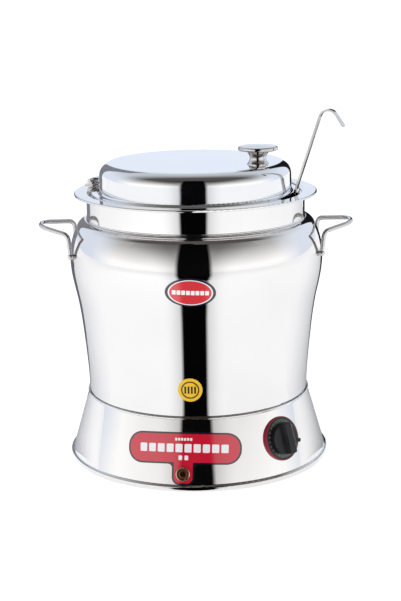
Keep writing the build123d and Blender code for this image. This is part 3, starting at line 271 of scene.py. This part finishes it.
mouldedLooks = {
    "footRubber": {"colour": (0.02, 0.02, 0.02), "second": (0.045, 0.045, 0.045), "smooth": 0.6, "rough": 0.8,
                   "grainScale": 1500.0, "bump": 0.6},
    "mineralWool": {"colour": (0.62, 0.56, 0.32), "second": (0.78, 0.73, 0.5), "smooth": 0.9, "rough": 1.0,
                    "grainScale": 420.0, "bump": 1.0},
    "castAluminium": {"colour": (0.6, 0.6, 0.61), "second": (0.7, 0.7, 0.71), "smooth": 0.38, "rough": 0.55,
                      "grainScale": 900.0, "bump": 0.7, "metallic": 1.0},
    "whiteCeramic": {"colour": (0.82, 0.8, 0.74), "second": (0.88, 0.87, 0.82), "smooth": 0.25, "rough": 0.4,
                     "grainScale": 1200.0, "bump": 0.2},
    "blackMoulding": {"colour": (0.018, 0.018, 0.02), "second": (0.03, 0.03, 0.032), "smooth": 0.42,
                      "rough": 0.55, "grainScale": 1800.0, "bump": 0.4},
    "gripPlastic": {"colour": (0.008, 0.008, 0.01), "second": (0.014, 0.014, 0.017), "smooth": 0.16,
                    "rough": 0.24, "grainScale": 1400.0, "bump": 0.12, "ior": 1.33},
}
finishes = {name: metalFinish(name, look) for name, look in steelLooks.items()}
finishes.update({name: mouldedFinish(name, look) for name, look in mouldedLooks.items()})

# prints lie on flat places on the skirt's cone or on the urn
skirt = {"footRadius": 0.1619, "footHeight": 0.0081, "topRadius": 0.13975, "topHeight": 0.0844}


def onSkirt(azimuth, height):  # middle, across and up-slope directions of a place on the skirt
    turn = math.radians(azimuth)
    share = (height - skirt["footHeight"]) / (skirt["topHeight"] - skirt["footHeight"])
    radius = skirt["footRadius"] + share * (skirt["topRadius"] - skirt["footRadius"])
    slope = math.atan2(skirt["footRadius"] - skirt["topRadius"], skirt["topHeight"] - skirt["footHeight"])
    outward = Vector((math.cos(turn), math.sin(turn), 0))
    middle = outward * radius + Vector((0, 0, height))
    across = Vector((-math.sin(turn), math.cos(turn), 0))
    up = Vector((0, 0, math.cos(slope))) - outward * math.sin(slope)
    return {"Middle": middle, "Across": across, "Up": up}


def onUrn(piece, azimuth, tilt=0.0):  # the same for an upright print on the urn
    low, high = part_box(piece)
    turn, lean = math.radians(azimuth), math.radians(tilt)
    across = Vector((-math.sin(turn), math.cos(turn), 0))
    upright = Vector((0, 0, 1))
    return {"Middle": (low + high) / 2, "Across": across * math.cos(lean) + upright * math.sin(lean),
            "Up": upright * math.cos(lean) - across * math.sin(lean)}


def printFinish(name, look, where):
    material, tree, shader, place = startFinish(name)
    shader.inputs["IOR"].default_value = look["ior"]
    skin = useGroup(tree, mouldGrain, {
        "Vector": place, "Grain Scale": printSkin["grainScale"],
        "Low": look["smooth"], "High": look["rough"]})
    tree.links.new(skin["Roughness"], shader.inputs["Roughness"])
    addBump(tree, shader, skin["Height"], printSkin["bump"], bumpDepth["print"])
    spot = useGroup(tree, patchPlace, {"Vector": place, **where})
    return material, tree, shader, spot


def block(tree, u, v, halfU, halfV, corner):
    values = {"U": u, "V": v, "Half U": halfU, "Half V": halfV, "Corner": corner}
    return useGroup(tree, roundedBlock, values)["Edge"]


def dashes(tree, u, v, look):  # a row of plain blocks
    repeated = calc(tree, "PINGPONG", calc(tree, "ADD", u, look["pitch"] * rowShift), look["pitch"] / 2)
    centred = calc(tree, "SUBTRACT", repeated, look["pitch"] / 2)
    lifted = calc(tree, "SUBTRACT", v, look["rise"])
    dash = block(tree, centred, lifted, look["halfWidth"], look["halfHeight"], look["corner"])
    ends = calc(tree, "SUBTRACT", calc(tree, "ABSOLUTE", u), look["reach"])
    return calc(tree, "MAXIMUM", dash, ends)


controlLabel = {
    "azimuth": -97.2, "height": 0.05125, "halfWidth": 0.0685, "halfHeight": 0.019, "corner": 0.0175,
    "tabHalfWidth": 0.0135, "tabFoot": -0.044, "tabTop": -0.012, "tabCorner": 0.009, "blend": 0.006,
    "edge": 0.0021,
    "red": (0.62, 0.01, 0.035), "dark": (0.012, 0.012, 0.016), "white": (0.93, 0.9, 0.93),
    "ior": 1.85, "smooth": 0.05, "rough": 0.1,
    "bigRow": {"pitch": 0.0109, "halfWidth": 0.0042, "halfHeight": 0.0050,
               "corner": 0.0012, "rise": 0.0, "reach": 0.0545},
    "smallRow": {"pitch": 0.0036, "halfWidth": 0.0013, "halfHeight": 0.0016,
                 "corner": 0.0004, "rise": 0.0105, "reach": 0.0108},
    "lowRow": {"pitch": 0.0072, "halfWidth": 0.0022, "halfHeight": 0.0028,
               "corner": 0.0012, "rise": -0.0115, "reach": 0.0072},
}


def labelFinish(look):
    material, tree, shader, spot = printFinish("labelPrint", look, onSkirt(look["azimuth"], look["height"]))
    u, v = spot["U"], spot["V"]
    bar = block(tree, u, v, look["halfWidth"], look["halfHeight"], look["corner"])
    tabMiddle = (look["tabFoot"] + look["tabTop"]) / 2
    tabHalf = (look["tabTop"] - look["tabFoot"]) / 2
    tabRise = calc(tree, "SUBTRACT", v, tabMiddle)
    tab = block(tree, u, tabRise, look["tabHalfWidth"], tabHalf, look["tabCorner"])
    outline = calc(tree, "SMOOTH_MIN", bar, tab, look["blend"])
    colour = tint(tree, below(tree, outline, -look["edge"]), look["dark"], look["red"])
    for row in ("bigRow", "smallRow", "lowRow"):
        colour = tint(tree, below(tree, dashes(tree, u, v, look[row]), 0.0), colour, look["white"])
    tree.links.new(colour, shader.inputs["Base Color"])
    return material


ovalBadge = {
    "azimuth": -92.8, "tilt": -1.8, "halfWidth": 0.02975, "halfHeight": 0.01715, "field": 0.83, "line": 0.885,
    "soft": 0.006,
    "red": (0.68, 0.04, 0.05), "white": (0.95, 0.93, 0.92), "navy": (0.012, 0.014, 0.035),
    "ior": 1.9, "smooth": 0.08, "rough": 0.14,
    "row": {"pitch": 0.0055, "halfWidth": 0.0022, "halfHeight": 0.0026,
            "corner": 0.0006, "rise": 0.0, "reach": 0.0220},
}


def badgeFinish(look):
    where = onUrn("oval_badge", look["azimuth"], look["tilt"])
    material, tree, shader, spot = printFinish("badgePrint", look, where)
    shareU = calc(tree, "DIVIDE", spot["U"], look["halfWidth"])
    shareV = calc(tree, "DIVIDE", spot["V"], look["halfHeight"])
    oval = calc(tree, "SQRT", calc(tree, "ADD", square(tree, shareU), square(tree, shareV)))
    colour = tint(tree, below(tree, oval, look["line"], look["soft"]), look["navy"], look["white"])
    colour = tint(tree, below(tree, oval, look["field"], look["soft"]), colour, look["red"])
    row = dashes(tree, spot["U"], spot["V"], look["row"])
    colour = tint(tree, below(tree, row, 0.0), colour, look["white"])
    tree.links.new(colour, shader.inputs["Base Color"])
    return material


roundSticker = {
    "azimuth": -94.0, "yellow": (0.86, 0.52, 0.01), "dark": (0.03, 0.028, 0.02),
    "ring": 0.0101, "ringWidth": 0.0008,
    "ior": 1.6, "smooth": 0.2, "rough": 0.3,
    "row": {"pitch": 0.0039, "halfWidth": 0.0011, "halfHeight": 0.0046,
            "corner": 0.0005, "rise": 0.0, "reach": 0.0078},
}


def stickerFinish(look):
    material, tree, shader, spot = printFinish("stickerPrint", look, onUrn("round_sticker", look["azimuth"]))
    ring = calc(tree, "ABSOLUTE", calc(tree, "SUBTRACT", spot["Distance"], look["ring"]))
    colour = tint(tree, below(tree, ring, look["ringWidth"]), look["yellow"], look["dark"])
    row = dashes(tree, spot["U"], spot["V"], look["row"])
    colour = tint(tree, below(tree, row, 0.0), colour, look["dark"])
    tree.links.new(colour, shader.inputs["Base Color"])
    return material


dialPlate = {
    "azimuth": -48.0, "height": 0.0489, "rim": 0.0259, "field": 0.0235, "crescent": 0.0165,
    "red": (0.3, 0.01, 0.03), "dark": (0.02, 0.02, 0.021), "green": (0.085, 0.11, 0.085),
    "tick": (0.3, 0.31, 0.3), "tickWidth": 0.06, "tickSoft": 0.02,
    "tickShift": 100.5,  # half a step, and whole steps that keep the values above 0
    "tickInner": 0.0206, "tickOuter": 0.0229, "ticks": 24, "ior": 1.4, "smooth": 0.3, "rough": 0.42,
}


def dialFinish(look):
    material, tree, shader, spot = printFinish("dialPrint", look, onSkirt(look["azimuth"], look["height"]))
    out = spot["Distance"]
    crescent = calc(tree, "GREATER_THAN", calc(tree, "ABSOLUTE", spot["V"]), look["crescent"])
    inField = below(tree, out, look["field"])
    colour = tint(tree, calc(tree, "MULTIPLY", crescent, inField), look["dark"], look["green"])
    turn = calc(tree, "MULTIPLY", calc(tree, "ARCTAN2", spot["V"], spot["U"]), look["ticks"] / (2 * math.pi))
    step = calc(tree, "FRACT", calc(tree, "ADD", turn, look["tickShift"]))
    beside = calc(tree, "ABSOLUTE", calc(tree, "SUBTRACT", step, 0.5))
    pastInner = calc(tree, "GREATER_THAN", out, look["tickInner"])
    ring = calc(tree, "MULTIPLY", pastInner, below(tree, out, look["tickOuter"]))
    onTick = below(tree, beside, look["tickWidth"], look["tickSoft"])
    colour = tint(tree, calc(tree, "MULTIPLY", ring, onTick), colour, look["tick"])
    colour = tint(tree, calc(tree, "GREATER_THAN", out, look["rim"]), colour, look["red"])
    tree.links.new(colour, shader.inputs["Base Color"])
    return material


lampLens = {
    "azimuth": -97.2, "height": 0.0215, "core": 0.0022, "edge": 0.0057,
    "dark": (0.012, 0.003, 0.001), "amber": (0.32, 0.075, 0.012), "ior": 1.6, "smooth": 0.06, "rough": 0.12,
}


def lensFinish(look):
    material, tree, shader, spot = printFinish("lampLens", look, onSkirt(look["azimuth"], look["height"]))
    glow = spread(tree, spot["Distance"], look["core"], look["edge"], 0.0, 1.0)
    colour = tint(tree, square(tree, glow), look["dark"], look["amber"])
    tree.links.new(colour, shader.inputs["Base Color"])
    return material


finishes["labelPrint"] = labelFinish(controlLabel)
finishes["badgePrint"] = badgeFinish(ovalBadge)
finishes["stickerPrint"] = stickerFinish(roundSticker)
finishes["dialPrint"] = dialFinish(dialPlate)
finishes["lampLens"] = lensFinish(lampLens)

finishOf = {
    "bodySteel": ["base_skirt", "housing_shell", "neck_collar", "soup_pot"],
    "lidSteel": ["lid", "lid_seat_ring"],
    "wireSteel": ["left_handle", "right_handle", "ladle_bowl", "ladle_handle", "ladle_rivets"],
    "knobSteel": ["lid_knob", "hinge_rim_leaf", "hinge_lid_leaf", "hinge_pin", "rim_leaf_rivets",
                  "lid_leaf_rivets"],
    "innerSteel": ["water_well", "floor_disc", "heat_shield", "knob_washer", "knob_screw", "thermostat_shaft",
                   "base_plate"],
    "zincPlate": ["base_brackets", "bracket_nuts", "foot_screws", "joint_bolts", "joint_nuts",
                  "element_clamp", "clamp_bolt", "shield_spacers", "thermostat_nut", "earth_stud",
                  "terminal_screws", "element_terminals", "bulb_clips"],
    "heatedSheath": ["heating_element"],
    "drawnCopper": ["capillary_bulb"],
    "lampRingMetal": ["pilot_lamp_bezel"],
    "footRubber": ["feet"],
    "mineralWool": ["insulation"],
    "castAluminium": ["heater_plate"],
    "whiteCeramic": ["element_bushes", "terminal_block"],
    "blackMoulding": ["thermal_cutout", "thermostat_body", "pilot_lamp_body", "lamp_nut", "cord_gland",
                      "gland_nut"],
    "gripPlastic": ["control_knob"],
    "labelPrint": ["control_label"],
    "badgePrint": ["oval_badge"],
    "stickerPrint": ["round_sticker"],
    "dialPrint": ["dial_plate"],
    "lampLens": ["pilot_lamp_lens"],
}
for finish, pieces in finishOf.items():
    for piece in pieces:
        mesh = nodes[piece].data
        mesh.materials.clear()
        mesh.materials.append(finishes[finish])
missing = sorted(set(nodes) - {piece for pieces in finishOf.values() for piece in pieces})
print("finishes given:", len(finishes), "without one:", missing)

studio = {  # floor, sky and exposure: each break is where the sky turns from low to high
    "floorSize": 60.0, "floorColour": (0.9, 0.9, 0.9), "floorGlow": 0.66, "exposure": 0.0,
    "lowFront": (1.25, 1.25, 1.25), "highFront": (0.1, 0.092, 0.088), "frontBreak": (0.1, 0.72),
    "back": (0.86, 0.93, 1.06), "highBack": (0.55, 0.57, 0.6), "backBreak": (0.35, 0.95),
    "sides": (-0.15, 0.35),
}
shadeLift = 0.0015  # sheets of painted reflected shade, just above the floor
greyShadeLift = 0.001
shadeTint = 1.15  # the blue of the painted reflected shade, beside its grey


def onFloor(lift, *places):
    return [(x, y, lift) for x, y in places]


reflectedShadeSheets = {  # dark and grey sheets, out of the camera's sight and seen only in reflections, which paint shade into the steel: shade, softness and corners of each
    "frontStripeShade": (0.002, "stripe", onFloor(
        shadeLift, (-0.09, -0.17), (0.09, -0.17), (0.22, -0.4), (0.55, -0.92),
        (2.0, -2.6), (-2.0, -2.6), (-0.55, -0.92), (-0.22, -0.4))),
    "rearStripeShade": (0.002, "stripe", [(-2.0, -2.6, 0.0), (2.0, -2.6, 0.0), (6.5, -2.6, 4.0), (-6.5, -2.6, 4.0)]),
    "rightFloorShade": (0.01, "none", onFloor(shadeLift, (0.05, 0.14), (0.09, 0.12), (0.66, 1.1), (0.3, 1.3))),
    "rightEdgeShade": (0.01, "none", [(0.66, 1.1, 0.0), (0.3, 1.3, 0.0), (0.3, 1.3, 1.6), (0.66, 1.1, 1.6)]),
    "rightGreyShade": (0.2, "fan", onFloor(greyShadeLift, (0.1, 0.0), (0.9, 0.0), (2.4, 1.6), (0.3, 1.6))),
    "leftFloorShade": (0.25, "none", onFloor(
        shadeLift, (-0.05, 0.14), (-0.09, 0.12), (-0.8, 1.0), (-0.35, 1.3))),
    "leftEdgeShade": (0.25, "none", [(-0.8, 1.0, 0.0), (-0.35, 1.3, 0.0), (-0.35, 1.3, 1.6), (-0.8, 1.0, 1.6)]),
    "leftGreyShade": (0.45, "fan", onFloor(greyShadeLift, (-0.1, 0.0), (-0.9, 0.0), (-2.4, 1.6), (-0.3, 1.6))),
}
# shapes of the soft fades that paint the reflected dark stripe and the grey side shade
stripeShadeShape = {"lean": 0.15, "curve": 0.033, "rise": 0.13, "coreEdge": 1.28, "fade": 3.0, "fadeShare": 0.38}
greyShadeFan = {"start": 0.15, "near": 0.17, "far": 1.24, "share": 0.9}
stripeShadeTurn = -2.5  # degrees, the turn about the kettle of the sheets that paint the dark stripe


def addFlat(name, corners, finish):
    mesh = bpy.data.meshes.new(name)
    mesh.from_pydata(corners, [], [tuple(range(len(corners)))])
    flat = bpy.data.objects.new(name, mesh)
    bpy.context.scene.collection.objects.link(flat)
    mesh.materials.append(finish)
    return flat


def plainFinish(name, colour, glow):  # the floor paper, and the sheets of painted reflected shade
    material = bpy.data.materials.new(name)
    material.use_nodes = True
    shader = material.node_tree.nodes["Principled BSDF"]
    shader.inputs["Base Color"].default_value = (*colour, 1)
    shader.inputs["Roughness"].default_value = 1.0
    shader.inputs["Specular IOR Level"].default_value = 0.0
    shader.inputs["Emission Color"].default_value = (1, 1, 1, 1)
    shader.inputs["Emission Strength"].default_value = glow
    return material


def fadeStripeShade(material, look):  # solid in the middle, thinning outwards, wider further off: the painted soft edge of the dark stripe seen in reflections
    tree = material.node_tree
    place = tree.nodes.new("ShaderNodeSeparateXYZ")
    tree.links.new(tree.nodes.new("ShaderNodeTexCoord").outputs["Object"], place.inputs[0])
    distance = calc(tree, "ABSOLUTE", place.outputs["Y"])
    bend = calc(tree, "MULTIPLY", distance, look["curve"])
    width = calc(tree, "MULTIPLY", distance, calc(tree, "ADD", bend, look["lean"]))
    rise = calc(tree, "MULTIPLY", square(tree, place.outputs["Z"]), look["rise"])
    wider = calc(tree, "ADD", width, rise)
    aside = calc(tree, "ABSOLUTE", place.outputs["X"])
    coreShare = calc(tree, "DIVIDE", aside, width)
    core = spread(tree, coreShare, 1.0, look["coreEdge"], 1.0 - look["fadeShare"], 0.0)
    fade = spread(tree, calc(tree, "DIVIDE", aside, wider), 1.0, look["fade"], 1.0, 0.0)
    alpha = calc(tree, "ADD", core, calc(tree, "MULTIPLY", square(tree, fade), look["fadeShare"]))
    tree.links.new(alpha, tree.nodes["Principled BSDF"].inputs["Alpha"])


def fadeGreyShade(material, look):  # dense straight behind the kettle's side, thinning as it swings outwards: painted grey shade near the steel's sides in reflections
    tree = material.node_tree
    place = tree.nodes.new("ShaderNodeSeparateXYZ")
    tree.links.new(tree.nodes.new("ShaderNodeTexCoord").outputs["Object"], place.inputs[0])
    out = calc(tree, "SUBTRACT", calc(tree, "ABSOLUTE", place.outputs["X"]), look["start"])
    swing = calc(tree, "ARCTAN2", out, calc(tree, "ADD", place.outputs["Y"], look["near"]))
    fade = spread(tree, swing, 0.0, look["far"], 1.0, 0.0)
    alpha = calc(tree, "MULTIPLY", square(tree, fade), look["share"])
    tree.links.new(alpha, tree.nodes["Principled BSDF"].inputs["Alpha"])


half = studio["floorSize"] / 2
floorFinish = plainFinish("floorPaper", studio["floorColour"], studio["floorGlow"])
addFlat("floor", [(-half, -half, 0), (half, -half, 0), (half, half, 0), (-half, half, 0)], floorFinish)
for name, (shade, soft, corners) in reflectedShadeSheets.items():
    # each sheet's colour is painted shade, seen only in reflections on the steel
    shadeSheet = plainFinish(name + "Cloth", (shade, shade, shade * shadeTint), 0.0)
    shadeFlat = addFlat(name, corners, shadeSheet)
    if soft == "stripe":
        fadeStripeShade(shadeSheet, stripeShadeShape)
        shadeFlat.rotation_euler.z = math.radians(stripeShadeTurn)
    if soft == "fan":
        fadeGreyShade(shadeSheet, greyShadeFan)
    # hidden from the camera, from diffuse light and from shadows, these sheets only paint shade into
    # reflections
    shadeFlat.visible_camera = False
    shadeFlat.visible_diffuse = False
    shadeFlat.visible_shadow = False


def studioSky(look):  # bright low in front, dim high in front, pale and cool behind
    world = bpy.data.worlds.new("studioSky")
    world.use_nodes = True
    bpy.context.scene.world = world
    tree = world.node_tree
    way = tree.nodes.new("ShaderNodeSeparateXYZ")
    tree.links.new(tree.nodes.new("ShaderNodeTexCoord").outputs["Generated"], way.inputs[0])
    height, depth = way.outputs["Z"], way.outputs["Y"]
    frontRise = spread(tree, height, *look["frontBreak"], 0.0, 1.0)
    front = tint(tree, frontRise, look["lowFront"], look["highFront"])
    back = tint(tree, spread(tree, height, *look["backBreak"], 0.0, 1.0), look["back"], look["highBack"])
    sky = tint(tree, spread(tree, depth, *look["sides"], 0.0, 1.0), front, back)
    tree.links.new(sky, tree.nodes["Background"].inputs["Color"])


studioSky(studio)

softboxes = {
    "leftBox": {"at": (-1.7, -1.5, 1.9), "aim": (0, 0, 0.2), "size": 1.0, "power": 9.0},
    "rightBox": {"at": (1.9, -1.3, 1.9), "aim": (0, 0, 0.2), "size": 0.8, "power": 5.0},
}
for name, box in softboxes.items():
    lamp = bpy.data.lights.new(name, "AREA")
    lamp.size = box["size"]
    lamp.energy = box["power"]
    holder = bpy.data.objects.new(name, lamp)
    bpy.context.scene.collection.objects.link(holder)
    holder.location = box["at"]
    holder.visible_glossy = False
    aim = Vector(box["aim"]) - Vector(box["at"])
    holder.rotation_euler = aim.to_track_quat("-Z", "Y").to_euler()

viewpoint = {"at": (0.0, -1.76081, 0.62316), "down": 13.629, "right": 0.1424, "roll": -0.8292, "lens": 85.43,
             "sensor": 36.0}
cameraData = bpy.data.cameras.new("camera")
cameraData.sensor_width = viewpoint["sensor"]
cameraData.lens = viewpoint["lens"]
camera = bpy.data.objects.new("camera", cameraData)
bpy.context.scene.collection.objects.link(camera)
camera.matrix_world = (
    Matrix.Translation(viewpoint["at"])
    @ Matrix.Rotation(-math.radians(viewpoint["right"]), 4, "Z")
    @ Matrix.Rotation(math.radians(90 - viewpoint["down"]), 4, "X")
    @ Matrix.Rotation(math.radians(viewpoint["roll"]), 4, "Z")
)
bpy.context.scene.camera = camera
bpy.context.scene.view_settings.view_transform = "Standard"
bpy.context.scene.view_settings.exposure = studio["exposure"]
print("studio set")
